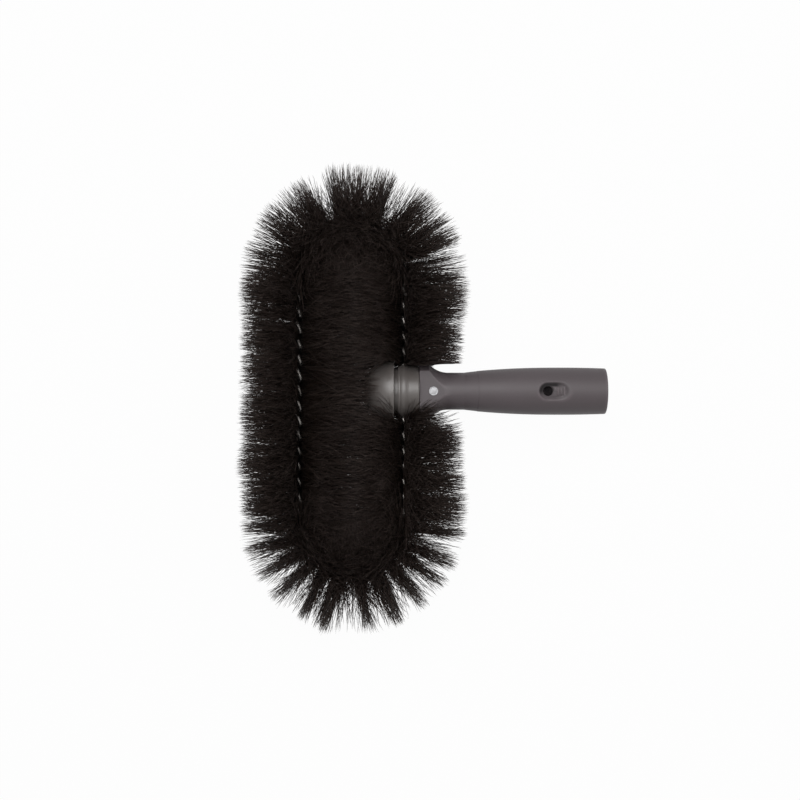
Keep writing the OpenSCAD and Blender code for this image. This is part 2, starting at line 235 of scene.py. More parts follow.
def softened(corners, radii, steps=5):
    """A closed outline with its corners rounded: between points a and b, set back from corner p
    by the radius, the curve is (1-t)^2 a + 2t(1-t) p + t^2 b."""
    p = np.asarray(corners, float)
    r = np.broadcast_to(np.asarray(radii, float), len(p))[:, None]
    back, on = np.roll(p, 1, 0) - p, np.roll(p, -1, 0) - p
    size_back = np.linalg.norm(back, axis=1)[:, None]
    size_on = np.linalg.norm(on, axis=1)[:, None]
    a = p + back * np.minimum(r / size_back, 0.45)
    b = p + on * np.minimum(r / size_on, 0.45)
    t = np.linspace(0, 1, steps)[None, :, None]
    curve = (1 - t) ** 2 * a[:, None] + 2 * t * (1 - t) * p[:, None] + t ** 2 * b[:, None]
    curve = curve.reshape(-1, 2)
    return curve[np.linalg.norm(curve - np.roll(curve, 1, 0), axis=1) > 1e-5]


def bow(centre_x, centre_r, radius, start, stop, count):
    """Points (station, radius) on an arc, from one angle to another, with 0 degrees along +X."""
    a = np.radians(np.linspace(start, stop, count))
    return np.stack([centre_x + radius * np.cos(a), centre_r + radius * np.sin(a)], 1)


def around(count):
    """Angles of even steps round a circle."""
    return np.linspace(0, 2 * PI, count + 1)[:-1]


def turned(profile, angles):
    """A profile of (station, radius) turned round the pole: x, r sin(angle), r cos(angle)."""
    x, r = profile[:, :1], profile[:, 1:]
    return np.stack([x + 0 * angles, r * np.sin(angles), r * np.cos(angles)], -1)


def unit(v):
    """Vectors brought to length 1."""
    return v / np.linalg.norm(v, axis=-1, keepdims=True)


# ---------------------------------------------------------------- materials

class Value:
    """A number in a material's nodes. Python's operators on it add Math nodes."""

    def __init__(self, finish, socket):
        self.finish, self.socket = finish, socket

    def __add__(self, other):
        return self.finish.math("ADD", self, other)

    def __sub__(self, other):
        return self.finish.math("SUBTRACT", self, other)

    def __rsub__(self, other):
        return self.finish.math("SUBTRACT", other, self)

    def __mul__(self, other):
        return self.finish.math("MULTIPLY", self, other)

    def __pow__(self, other):
        return self.finish.math("POWER", self, other)

    __radd__ = __add__
    __rmul__ = __mul__


class Finish:
    """A material, or the world, being made from nodes."""

    def __init__(self, block):
        block.use_nodes = True
        self.block, self.tree = block, block.node_tree
        self.tree.nodes.clear()

    def node(self, kind, settings=None, sockets=None, out=0):
        """Adds a node: its settings first, then values or links for its sockets."""
        made = self.tree.nodes.new(kind)
        for key, setting in (settings or {}).items():
            setattr(made, key, setting)
        for key, value in (sockets or {}).items():
            if isinstance(value, Value):
                self.tree.links.new(value.socket, made.inputs[key])
            else:
                made.inputs[key].default_value = value
        return Value(self, made.outputs[out]) if len(made.outputs) else None

    def math(self, operation, a, b):
        return self.node("ShaderNodeMath", {"operation": operation}, {0: a, 1: b})

    def noise(self, scale, detail=2.0, stretch=None):
        """Noise from 0 to 1 over the piece; scale counts features in a metre."""
        where = self.node("ShaderNodeTexCoord", out="Object")
        if stretch:
            where = self.node("ShaderNodeVectorMath", {"operation": "MULTIPLY"}, {0: where, 1: stretch})
        return self.node("ShaderNodeTexNoise", None, {"Vector": where, "Scale": scale, "Detail": detail})

    def blend(self, factor, a, b):
        """A colour between a and b."""
        return self.node("ShaderNodeMix", {"data_type": "RGBA"}, {0: factor, 6: a, 7: b}, out=2)

    def value_of(self, key):
        """An attribute that the mesh carries, 0 where it has none."""
        return self.node("ShaderNodeAttribute", {"attribute_name": key}, out="Fac")

    def between(self, value, low, high):
        """0 below low, 1 above high and a straight line between."""
        return self.node("ShaderNodeMapRange", None, {"Value": value, "From Min": low, "From Max": high})

    def close(self, colour, roughness, height=None, depth=0.0, strength=1.0, **fixed):
        """Joins colour, roughness and height to a Principled shader and ends the material."""
        sockets = {"Base Color": colour, "Roughness": roughness}
        if height is not None:
            sockets["Normal"] = self.node("ShaderNodeBump", None,
                {"Height": height, "Distance": depth, "Strength": strength})
        for key, value in fixed.items():
            sockets[key.replace("_", " ")] = value
        return self.end(self.node("ShaderNodeBsdfPrincipled", None, sockets))

    def end(self, shader, kind="ShaderNodeOutputMaterial"):
        """Joins the last shader to the output and gives the material or world."""
        self.node(kind, None, {"Surface": shader})
        return self.block


def grey(level, tint):
    """A grey of the given level with a slight tint."""
    return (level * tint[0], level * tint[1], level * tint[2], 1.0)


def moulded_plastic(name, level, tint, gloss, sheen):
    """Spark-textured moulded plastic: cloudy colour and fine grain, paler smoother edges that are partly
    rubbed and partly painted highlight, and dull dark painted shade."""
    f = Finish(bpy.data.materials.new(name))
    cloud = f.between(f.noise(38.0, 3.0), 0.3, 0.7)
    speck = f.noise(1500.0, 1.0)
    flow = f.noise(60.0, 3.0, (0.25, 1.0, 1.0))
    rub_and_highlight, painted_shade = f.value_of("rub_and_highlight"), f.value_of("painted_shade")
    rub_and_highlight_patches = f.between(f.noise(420.0, 4.0), 0.52, 0.7) * rub_and_highlight
    base = f.blend(cloud, grey(level * 0.93, tint), grey(level * 1.07, tint))
    base = f.blend(f.between(speck, 0.35, 0.75) * 0.25, base, grey(level * 1.35, tint))
    # Paler where the mesh's rub_and_highlight value is high: rubbing, and painted highlight on edges
    base = f.blend(rub_and_highlight * 0.28 + rub_and_highlight_patches * 0.3, base, grey(level * 2.3, tint))
    # Painted shade: near black where the mesh's painted_shade value is high
    base = f.blend(painted_shade, base, grey(level * 0.12, tint))
    rough = 0.06 * cloud + 0.05 * flow + (gloss - 0.05) - 0.08 * rub_and_highlight + 0.45 * painted_shade
    grain = f.noise(2600.0, 2.0) + 0.35 * f.noise(700.0, 2.0)
    return f.close(base, rough, grain, 0.00006, 0.55, Specular_IOR_Level=sheen)


def drawn_wire(name):
    """Galvanised wire: pale zinc, darker along the run where it was drawn and dull in patches."""
    f = Finish(bpy.data.materials.new(name))
    dull = f.between(f.noise(260.0, 3.0), 0.35, 0.7)
    streak = f.noise(3000.0, 2.0, (0.5, 0.12, 0.5))
    base = f.blend(dull, (0.36, 0.34, 0.32, 1.0), (0.13, 0.12, 0.112, 1.0))
    base = f.blend(f.between(streak, 0.5, 0.8) * 0.4, base, (0.12, 0.115, 0.11, 1.0))
    tarnish = f.between(f.noise(42.0, 2.0), 0.42, 0.62)
    base = f.blend(tarnish * 0.75, base, (0.055, 0.048, 0.043, 1.0))
    return f.close(base, 0.42 + 0.2 * dull, streak, 0.00005, 0.4, Metallic=1.0)


def plated_steel(name, pale, rough):
    """Plated or polished metal with faint crossed scratches and a soft bloom."""
    f = Finish(bpy.data.materials.new(name))
    bloom = f.between(f.noise(500.0, 3.0), 0.3, 0.75)
    hair = f.noise(2400.0, 1.0, (1.0, 0.06, 1.0)) + f.noise(2400.0, 1.0, (0.06, 1.0, 1.0))
    base = f.blend(bloom, grey(pale, (1.0, 1.0, 1.02)), grey(pale, (0.88, 0.88, 0.91)))
    return f.close(base, 0.16 * bloom + rough, hair, 0.00003, 0.35, Metallic=1.0)


def fibre(name):
    """Stiff black synthetic fibre: near black with a warm cast and paler here and there, with tips painted
    paler for light shining through the thin ends.
    """
    f = Finish(bpy.data.materials.new(name))
    tone, reach = f.value_of("tone"), f.value_of("reach")
    base = f.blend(tone, (0.0115, 0.0068, 0.0048, 1.0), (0.085, 0.066, 0.057, 1.0))
    # Painted light: tips turn paler, standing in for light through the thin fibre ends
    base = f.blend(reach ** 3.5 * 0.4, base, (0.085, 0.064, 0.058, 1.0))
    return f.close(base, 0.42 + 0.12 * tone, Specular_IOR_Level=0.28)


handle_plastic = moulded_plastic("handle_moulded_plastic", 0.056, (1.17, 0.945, 1.02), 0.52, 0.5)
# Painted light: the hub's plastic is made lighter than the handle's, which is the same dark grey, to stand in
# for light that the fibres round the hub keep off it
hub_plastic = moulded_plastic("hub_moulded_plastic", 0.088, (1.1, 0.98, 0.92), 0.33, 0.56)
badge_silver = plated_steel("badge_satin_silver", 0.26, 0.4)
fastener_steel = plated_steel("fastener_zinc_plate", 0.5, 0.26)
wire_steel = drawn_wire("wire_galvanised")
bristle_fibre = fibre("fibre_black")


# ---------------------------------------------------------------- pole socket

def smooth_least(a, b, k):
    """The lesser of a and b with the edge between them rounded over k: b + (a-b) h - k h (1-h),
    with h = 1/2 + (b-a)/2k kept from 0 to 1. Also 4 h (1-h), which is 1 on the edge and 0 off it."""
    h = np.clip(0.5 + 0.5 * (b - a) / k, 0, 1)
    return b * (1 - h) + a * h - k * h * (1 - h), 4 * h * (1 - h)


def spaced(stops, counts):
    """Stations between stops, a count of them to each stretch, without the very first."""
    stretches = [np.linspace(a, b, count) for a, b, count in zip(stops[:-1], stops[1:], counts)]
    return np.unique(np.concatenate(stretches))[1:]


def handle_outline():
    """Stations and radii of the handle's outer skin, from the flange's face to the mouth.

    A level rim, an arc down to the neck, then the grip: with t from 0 to 1 along each stretch, the
    radius swells with 1 - (1-t)^2.4 and tapers with t^2. Rows are closest at the neck's step and
    at the pocket.
    """
    rim_edge = bow(FLANGE_X + RIM_EDGE, FLANGE_R - RIM_EDGE, RIM_EDGE, 180, 90, 6)
    rim = np.stack([np.linspace(FLANGE_X + 1.4, RIM_X, 10), np.full(10, FLANGE_R)], 1)
    drop = FLANGE_R - NECK_R
    flare_end = RIM_X + np.sqrt(drop * (2 * FLARE_R - drop))
    start = np.degrees(np.arcsin((flare_end - RIM_X) / FLARE_R))
    flare = bow(flare_end, NECK_R + FLARE_R, FLARE_R, 270 - start, 270, 34)[1:]
    neck = np.stack([np.linspace(flare_end, SWELL_AT, 12), np.full(12, NECK_R)], 1)[1:]
    x = spaced([SWELL_AT, -101, -95, -54, GRIP_AT], [12, 22, 30, 62])
    t = (x - SWELL_AT) / (GRIP_AT - SWELL_AT)
    swell = np.stack([x, NECK_R + (GRIP_R - NECK_R) * (1 - (1 - t) ** 2.4)], 1)
    x = spaced([GRIP_AT, -25, -MOUTH_EDGE], [28, 16])
    t = (x - GRIP_AT) / (-MOUTH_EDGE - GRIP_AT)
    taper = np.stack([x, GRIP_R - (GRIP_R - MOUTH_R) * t * t], 1)
    mouth = bow(-MOUTH_EDGE, MOUTH_R - MOUTH_EDGE, MOUTH_EDGE, 90, 0, 7)[1:]
    return np.concatenate([rim_edge, rim, flare, neck, swell, taper, mouth])


def flat_height(x):
    """Height of the flats by station: level, rounded over half a millimetre at the flange's face,
    up by 0.3 mm with the square over 8 mm of the neck, and up by 1.6 t^1.5 over the last stretch.
    From there on they lie above the skin."""
    t = np.clip((x - FLATS_RISE_AT) / FLATS_RISE_LENGTH, 0, 1)
    rise = 1.6 * t ** 1.5 + np.where(t >= 1, 30.0, 0.0)
    lip = np.clip((FLANGE_X + 0.5 - x) / 0.5, 0, 1)
    fade = 0.3 * np.clip((x + 121) / 8, 0, 1) ** 2
    return FLAT_Z + rise + fade - 0.5 * (1 - np.sqrt(1 - lip ** 2))


def packed(count):
    """Steps from 0 to short of 1, closer together at both ends: t - 0.3 sin(2 pi t) / 2 pi."""
    t = np.linspace(0, 1, count + 1)[:-1]
    return t - 0.3 * np.sin(2 * PI * t) / (2 * PI)


def handle_columns(x, r):
    """Angles of the columns at each station: 56 across each flat and 44 down each side.

    Their borders lie on the flats' edges, or 27 degrees from the top where the flats are narrower,
    with a soft change: the greater of a and b is taken as (a + b + sqrt((a-b)^2 + 0.004)) / 2.
    """
    edge = np.arccos(np.clip(flat_height(x) / r, 0, 1))
    least = np.radians(27.0)
    c = (least + 0.5 * (edge - least + np.sqrt((edge - least) ** 2 + 0.004)))[:, None]
    across = 2 * packed(56) - 1
    side = c + (PI - 2 * c) * packed(44)
    return np.concatenate([c * across, side, PI + c * across, PI + side], 1)


def in_pocket(x, across):
    """How far a place lies inside the pocket's edge, a stadium round the lock hole, and how wide the
    pocket's wall is there: one width, and up to the slope's more towards the mouth."""
    along = np.maximum(np.abs(x - POCKET_AT) - POCKET_HALF, 0)
    inside = POCKET_R - np.hypot(along, across)
    wall = POCKET_WALL + POCKET_SLOPE * np.clip((x - POCKET_AT - 1) / 11, 0, 1) ** 1.5
    return inside, wall


def handle_skin(x, r, angles):
    """Radius of the outer skin, and a mask for paler edges, by station and angle.

    The pocket's wall goes down by 3t^2 - 2t^3, with t from 0 to 1 over its width. The mask is
    rubbing and painted highlight, greatest on the edges of the flats, the pocket, the ribs, the mouth
    and the flange.
    """
    x = x[:, None] + 0 * angles
    front = np.cos(angles) > 0
    flat = flat_height(x) / np.maximum(np.abs(np.cos(angles)), 1e-3)
    radius, rub_and_highlight = smooth_least(r[:, None] + 0 * angles, flat, 0.5)
    rub_and_highlight = rub_and_highlight * np.clip((-115 - x) / 9, 0, 1)
    inside, wall = in_pocket(x, radius * np.sin(angles))
    t = np.clip(inside / wall, 0, 1) * front
    sunk = t * t * (3 - 2 * t)
    radius = radius - (radius - POCKET_FLOOR_R) * sunk
    # Three plain ribs across the pocket, and the faint step where the neck ends
    y = radius * np.sin(angles)
    for rib_at in RIBS_AT:
        rise = np.clip(1.3 - np.maximum(np.abs(x - rib_at) / 0.55, np.abs(y) / 2.6), 0, 0.3) / 0.3
        radius = radius + RIB_H * rise * sunk * front
        rub_and_highlight = np.maximum(rub_and_highlight, 0.75 * rise * sunk)
    past = x - NECK_STEP_X
    step = np.clip((past + 0.004 * y ** 2) / 0.6, 0, 1)
    radius = radius + 0.14 * step * np.exp(-np.clip(past, 0, None) / 9)
    # Paler pocket edge, from rubbing, with a painted highlight on its lower side where the light falls; then
    # paler edges on the mouth and on the flange's face
    rub_and_highlight = np.maximum(rub_and_highlight, 0.65 * np.exp(-(inside / 0.45) ** 2) * front * (1.3 / wall) ** 2)
    # Painted highlight: the lower side of the pocket's edge, turned to the light, is made paler
    lower = np.clip(0.3 - y / 4, 0, 1) * front
    rub_and_highlight = np.maximum(rub_and_highlight, np.exp(-(inside / 1.1) ** 2) * lower)
    rub_and_highlight = np.maximum(rub_and_highlight, np.exp(-((x + 0.4) / 0.7) ** 2))
    rub_and_highlight = np.maximum(rub_and_highlight, 0.7 * np.exp(-((x - FLANGE_X - 0.2) / 0.5) ** 2))
    return radius, rub_and_highlight


def socket_handle():
    """The handle, from its screw hole over the spigot, flange, neck and grip into the bore."""
    x, r = handle_outline().T
    angles = handle_columns(x, r)
    radius, rub_and_highlight = handle_skin(x, r, angles)
    outer = np.stack([x[:, None] + 0 * angles, radius * np.sin(angles), radius * np.cos(angles)], -1)
    spigot = turned(np.array([(PILOT_END, 0), (PILOT_END, PILOT_R), (SPIGOT_END_X, PILOT_R),
        (SPIGOT_END_X, SPIGOT_R - SPIGOT_EDGE), (SPIGOT_END_X + SPIGOT_EDGE, SPIGOT_R),
        (REGISTER_X, SPIGOT_R), (REGISTER_X, REGISTER_R), (FLANGE_X, REGISTER_R)]), angles[:1])
    t = np.linspace(0, 1, 8)[1:-1, None, None]
    face = spigot[-1:] * (1 - t) + outer[:1] * t
    bore = turned(np.array([(0, SOCKET_R + 0.25), (-0.25, SOCKET_R), (-24, SOCKET_R), (-48, SOCKET_R),
        (SOCKET_DEPTH, SOCKET_R), (SOCKET_DEPTH, CORE_R), (CORE_END, CORE_R), (CORE_END, 0)]), angles[-1:])
    grid = np.concatenate([spigot, face, outer, bore])
    # Mask of paler edges, rubbing and painted highlight, on the outer skin only
    rub_and_highlight_grid = np.zeros(grid.shape[:2])
    rub_and_highlight_grid[len(spigot) + len(face):-len(bore)] = rub_and_highlight
    piece = weld(mesh_piece("handle_body", grid, [grid_faces(*grid.shape[:2], close_cols=True)],
        handle_plastic, values={"rub_and_highlight": rub_and_highlight_grid}))
    a, z = around(64), np.array([[6.0], [30.0]])
    drill = np.stack([LOCK_HOLE_AT + LOCK_HOLE_R * np.cos(a) + 0 * z, LOCK_HOLE_R * np.sin(a) + 0 * z,
        z + 0 * a], -1)
    ends = np.arange(128).reshape(2, 64)
    faces = [grid_faces(2, 64, close_cols=True), ends[:1, ::-1], ends[1:]]
    return pocket_painted_shade(carve(piece, mesh_piece("lock_hole_cutter", drill, faces, handle_plastic)))


def pocket_painted_shade(piece):
    """Painted shade along the pocket's wall, most on its upper side, which faces away from the light,
    and beside the upper half of the hole.
    It is worked out from where the points are after the cut, which drops values on new points."""
    spots = np.empty(3 * len(piece.data.vertices), np.float32)
    piece.data.vertices.foreach_get("co", spots)
    x, y, z = spots.reshape(-1, 3).T / MM
    r = np.hypot(y, z)
    inside, wall = in_pocket(x, y * GRIP_R / np.maximum(r, 1))
    # Painted shade: stronger towards the upper side, where the light does not reach the wall
    upper = 0.2 + 0.8 * np.clip(y / 4 + 0.5 - 0.05 * (x - POCKET_AT), 0, 1)
    painted_shade = np.exp(-((inside - 2.0) / 1.4) ** 4) * upper * (POCKET_WALL / wall) ** 2
    beside = np.maximum(np.hypot(x - LOCK_HOLE_AT, y) - LOCK_HOLE_R, 0)
    painted_shade = np.maximum(painted_shade, 0.9 * np.exp(-(beside / 1.2) ** 2) * upper)
    painted_shade = painted_shade * (r > 14.5) * (z > 0) * (inside > -1)
    layer = piece.data.attributes.new("painted_shade", "FLOAT", "POINT")
    layer.data.foreach_set("value", painted_shade.astype(np.float32))
    return piece


def badge_disc():
    """A blank disc: a flat seat, a rounded border and a face crowned by 0.12 mm."""
    r = np.array([0, BADGE_R - 0.1, BADGE_R, BADGE_R, BADGE_R - 0.05, BADGE_R - 0.18, BADGE_R - 0.4,
        BADGE_R - 0.55, 2.4, 1.8, 1.2, 0.6, 0])
    z = np.array([-0.4, -0.4, -0.3, 0.2, 0.31, 0.38, 0.4, 0.36, 0.37, 0.42, 0.46, 0.48, 0.49]) + FLAT_Z
    a = around(64)
    points = np.stack([BADGE_AT + r[:, None] * np.cos(a), r[:, None] * np.sin(a), z[:, None] + 0 * a], -1)
    return weld(mesh_piece("badge_disc", points, [grid_faces(len(r), 64, close_cols=True)], badge_silver))


# ---------------------------------------------------------------- hub

def collar_outline():
    """The collar's section: groove floor, step, ridge over the wire, shoulder, register ring, bore."""
    ridge_r = ((RIDGE_W / 2) ** 2 + RIDGE_H ** 2) / (2 * RIDGE_H)
    half = np.degrees(np.arcsin(RIDGE_W / 2 / ridge_r))
    ridge = bow(WIRE_X, COLLAR_R + RIDGE_H - ridge_r, ridge_r, 90 + half, 90 - half, 15)
    before = [(NECK_END_X, COLLAR_BORE_R), (NECK_END_X, COLLAR_NECK_R), (COLLAR_END_X, COLLAR_NECK_R),
        (COLLAR_END_X, COLLAR_R)]
    after = [(COLLAR_X, COLLAR_R), (COLLAR_X, SHOULDER_R), (FLANGE_X - SEAM, SHOULDER_R),
        (FLANGE_X - SEAM, COLLAR_RING_R), (REGISTER_X, COLLAR_RING_R), (REGISTER_X, COLLAR_BORE_R)]
    corners = np.concatenate([before, ridge, after])
    ridge_radii = [0.3] + [0.0] * 13 + [0.3]
    return softened(corners, [0.2, 0.3, 0.25, 0.5] + ridge_radii + [0.4, 0.1, 0.1, 0.1, 0.3, 0.2])


def collar_half(name, front):
    """Half of the collar: its section swept half way round, closed by its two parting faces, less
    the stepped hole of the ferrules. The drill is turned a little off the parting plane."""
    middle = 0 if front else PI
    angles = middle + np.radians(np.linspace(-89.86, 89.86, 97))
    points = turned(collar_outline(), angles[None, :])
    rows, cols = points.shape[:2]
    ends = np.arange(rows)[None, :] * cols
    faces = [grid_faces(rows, cols, close_rows=True), ends, (ends + cols - 1)[:, ::-1]]
    x, r = points[..., 0], np.hypot(points[..., 1], points[..., 2])
    # Paler on the collar's two outer edges: rubbing, with a painted highlight along them
    rub_and_highlight = 0.8 * np.exp(-((x - COLLAR_X) / 0.45) ** 2 - ((r - COLLAR_R) / 0.6) ** 2)
    rub_and_highlight = rub_and_highlight + 0.7 * np.exp(-((x - COLLAR_END_X) / 0.4) ** 2 - ((r - COLLAR_R) / 0.5) ** 2)
    piece = mesh_piece(name, points, faces, hub_plastic, values={"rub_and_highlight": rub_and_highlight})
    section = np.array([(-40, 0), (-40, FERRULE_HOLE_R), (-FERRULE_HEAD_OUT, FERRULE_HOLE_R),
        (-FERRULE_HEAD_OUT, FERRULE_HEAD_R), (FERRULE_HEAD_OUT, FERRULE_HEAD_R),
        (FERRULE_HEAD_OUT, FERRULE_HOLE_R), (40, FERRULE_HOLE_R), (40, 0)])
    y, r = section[:, :1], section[:, 1:]
    a = around(48) + 0.02
    drill = np.stack([WIRE_X + r * np.cos(a), y + 0 * a, r * np.sin(a)], -1)
    cutter = weld(mesh_piece(name + "_cutter", drill, [grid_faces(8, 48, close_cols=True)], hub_plastic))
    return carve(piece, cutter)


def nose_cap():
    """The domed cap, a shell: outer half ball, rim, seat for the collar, hollow, boss, screw hole."""
    outer = bow(CAP_X, 0, CAP_R, 180 - np.degrees(np.arcsin(SCREW_WELL_R / CAP_R)), 90, 44)
    hollow_start = np.degrees(np.arccos((CAP_SEAT_X - CAP_X) / CAP_IN_R))
    hollow_stop = 180 - np.degrees(np.arcsin(BOSS_R / CAP_IN_R))
    hollow = bow(CAP_X, 0, CAP_IN_R, hollow_start, hollow_stop, 16)
    seat = [(CAP_X, CAP_SEAT_R), (CAP_SEAT_X, CAP_SEAT_R)]
    boss = [(NECK_END_X, BOSS_R), (NECK_END_X, SCREW_HOLE_R), (SCREW_SEAT_X, SCREW_HOLE_R),
        (SCREW_SEAT_X, SCREW_WELL_R)]
    radii = np.concatenate([[0.25], np.zeros(42), [0.55], [0.2, 0.0], np.zeros(16), [0.2, 0.2, 0.0, 0.0]])
    section = softened(np.concatenate([outer, seat, hollow, boss]), radii)
    points = turned(section, around(144)[None, :])
    past = points[..., 0] - CAP_X
    # Painted highlight along the dome's rim: paler on the rim's edge and, more faintly, over 6 mm of the dome
    # behind it
    rub_and_highlight = np.maximum(0.8 * np.exp(-(past / 0.5) ** 2), 0.3 * np.exp(-(past / 6) ** 2))
    return mesh_piece("nose_cap_shell", points,
        [grid_faces(*points.shape[:2], close_rows=True, close_cols=True)], hub_plastic, values={"rub_and_highlight": rub_and_highlight})


# ---------------------------------------------------------------- loop

def route(s):
    """Centre line of the loop at arc lengths s: the point, the outward and the onward direction.

    Two straight sides join two half circles; heading is the angle of the outward direction.
    """
    s = np.asarray(s, float)
    stretch = [s < TOP_S, s < LEFT_S, s < BOTTOM_S, s < RIGHT_S]
    heading = np.select(stretch,
        [0 * s, (s - TOP_S) / BEND_R, PI + 0 * s, PI + (s - BOTTOM_S) / BEND_R], 2 * PI)
    out = np.stack([np.cos(heading), np.sin(heading), 0 * s], -1)
    on = np.stack([-np.sin(heading), np.cos(heading), 0 * s], -1)
    bend_x = WIRE_X - BEND_R + BEND_R * out[..., 0]
    x = np.select(stretch, [WIRE_X + 0 * s, bend_x, WIRE_X - 2 * BEND_R + 0 * s, bend_x], WIRE_X)
    y = np.select(stretch,
        [s, RUN_UP + BEND_R * out[..., 1], RUN_UP - (s - LEFT_S), -RUN_DOWN + BEND_R * out[..., 1]],
        s - LOOP_S)
    return np.stack([x, y, 0 * s], -1), out, on


def wire_strand(name, side):
    """One wire: a circle carried along a left-handed helix round the loop's centre line. The last
    two radii at each end don't turn."""
    s = np.linspace(WIRE_END, LOOP_S - WIRE_END, WIRE_STEPS)
    turn_s = np.clip(s, WIRE_END + 2 * WIRE_R, LOOP_S - WIRE_END - 2 * WIRE_R)
    angle = (2 * PI * turn_s / PITCH + side)[:, None]
    spot, out, on = route(s)
    away = np.cos(angle) * out + np.sin(angle) * np.array([0, 0, 1.0])
    centre = spot + WIRE_OFFSET * away
    ahead = unit(np.gradient(centre, axis=0))
    up = unit(away - ahead * np.sum(away * ahead, -1, keepdims=True))
    across = np.cross(ahead, up)
    a = around(WIRE_SIDES)[None, :, None]
    points = centre[:, None] + WIRE_R * (np.cos(a) * up[:, None] + np.sin(a) * across[:, None])
    ends = np.arange(WIRE_SIDES)[None, :]
    faces = [grid_faces(WIRE_STEPS, WIRE_SIDES, close_cols=True), ends[:, ::-1],
        ends + (WIRE_STEPS - 1) * WIRE_SIDES]
    return mesh_piece(name, points, faces, wire_steel, crease=50)


# ---------------------------------------------------------------- fibres

def hub_radius(x):
    """Radius of the hub and handle at a station, which the fibres lie over."""
    dome = np.sqrt(np.clip(CAP_R ** 2 - (x - CAP_X) ** 2, 0, None))
    flare = NECK_R + FLARE_R - np.sqrt(np.clip(FLARE_R ** 2 - (x - FLARE_END_X) ** 2, 0, None))
    return np.select([x < CROWN_X, x < CAP_X, x < COLLAR_END_X, np.abs(x - WIRE_X) < RIDGE_W / 2,
        x < COLLAR_X, x < RIM_X, x < FLARE_END_X],
        [0 * x, dome, COLLAR_NECK_R, COLLAR_R + RIDGE_H, COLLAR_R, FLANGE_R, flare], NECK_R)


def gathered(s, out, outward, from_centre, longer, look, partings, chance):
    """How far the points of fibres are moved along the run.

    It is t^1.4 of the share clump of the way to the middle of the tuft, and t of the push away from
    each parting. One fibre in seven is a stray that does little of either.
    """
    count = len(s)
    bent = ((s > TOP_S) & (s < LEFT_S)) | ((s > BOTTOM_S) & (s < RIGHT_S))
    fan = 1 + np.where(bent, outward * REACH / BEND_R, 0)
    clump = np.clip(look["clump"] * (1 + 0.25 * longer) * chance.uniform(0.6, 1.25, count), 0, 0.92)
    stray = chance.random(count) < 0.14
    drawn = np.where(stray, 0.1, -clump) * from_centre * np.maximum(fan, 0.3)
    heading = np.degrees(np.arctan2(out[:, 1], out[:, 0])) % 360
    apart = np.zeros(count)
    for at, strength, width in partings:
        gap = (heading - at + 180) % 360 - 180
        push = np.sign(gap) * np.exp(-np.abs(gap) / width) * np.clip(outward * 2, 0, 1)
        apart = apart + REACH * np.radians(strength) * push * np.where(stray, 0.3, 1)
    t = STATIONS[None, :, None]
    return t ** 1.4 * drawn[:, None, None] + t * apart[:, None, None]


def least_y(x, z, chance):
    """The lowest y for fibres of the upper side: an edge that dips at the seam and rises past the
    rim, then the dome's own edge with chance dips over it. Under the hub there is none."""
    count = len(x)
    level = UPPER_EDGE_Y - 1.0 * np.exp(-((x + 136) / 3) ** 2) + 1.6 * np.clip((x - RIM_X) / 6, 0, 1)
    dips = 6 * np.clip((-162 - x) / 8, 0, 1) * chance.random(count)[:, None] ** 2
    edge = np.where(x > CAP_X, level, hub_radius(x) - 0.3 - 4 * np.clip((-165 - x) / 14, 0, 1) - dips)
    least = edge + 1.3 * chance.random(count)[:, None] ** 2
    return np.where((x > CROWN_X - 4) & ((z > -3) | (x > RIM_X)), least, -99)


def off_hub(path, s, upper, chance):
    """Moves the points of paths off the hub and the floor.

    What comes too near the axis is pushed away from it, on the left run only up or down, and three
    in five fibres of that run end at the dome.
    """
    count = len(s)
    near = np.hypot(path[..., 1], path[..., 2])
    dome = CAP_X - 0.3 - np.sqrt(np.clip(CAP_R ** 2 - near ** 2, 0, None))
    on_left = (s > LEFT_S) & (s < BOTTOM_S)
    stops = on_left & (chance.random(count) < 0.6)
    path[..., 0] = np.where(stops[:, None] & (near < CAP_R), np.minimum(path[..., 0], dome), path[..., 0])
    x = path[..., 0]
    room = hub_radius(x) + 0.3 + 0.3 * chance.random(count)[:, None]
    room = np.where(x > -70, 0, room)
    lift = np.where(near < room, room / np.maximum(near, 1e-3), 1.0)
    high = np.sqrt(np.clip(room ** 2 - path[..., 1] ** 2, 0, None))
    high = np.copysign(np.maximum(np.abs(path[..., 2]), high), path[..., 2])
    path[..., 2] = np.where(on_left[:, None], high, path[..., 2] * lift)
    path[..., 1] = np.where(on_left[:, None], path[..., 1], path[..., 1] * lift)
    if upper:
        path[..., 1] = np.maximum(path[..., 1], least_y(x, path[..., 2], chance))
    path[..., 2] = np.clip(path[..., 2], FLOOR_Z + 0.1, REACH)
    return path


def threads(path, ahead, chance):
    """Points and faces of tapered threads: at every station but the last, path + radius taper
    (cos a one + sin a two) for three angles a, with one and two square to the thread, and a tip."""
    count = len(path)
    thick = (0.17 + 0.05 * chance.random(count))[:, None, None, None] * TAPER[None, :, None, None]
    one = unit(np.cross(ahead, chance.normal(0, 1.0, (count, 3))))
    two = np.cross(ahead, one)
    a = np.array([0, 2, 4.0])[None, None, :, None] * PI / 3
    rings = path[:, :5, None] + thick * (np.cos(a) * one[:, None, None] + np.sin(a) * two[:, None, None])
    points = np.concatenate([rings.reshape(count, 15, 3), path[:, 5:6]], 1)
    first = (np.arange(count) * 16)[:, None, None]
    walls = (first + grid_faces(5, 3, close_cols=True)[None]).reshape(-1, 4)
    ends = (first + np.array([[12, 13, 15], [13, 14, 15], [14, 12, 15], [2, 1, 0]])[None]).reshape(-1, 3)
    return points, [walls, ends]


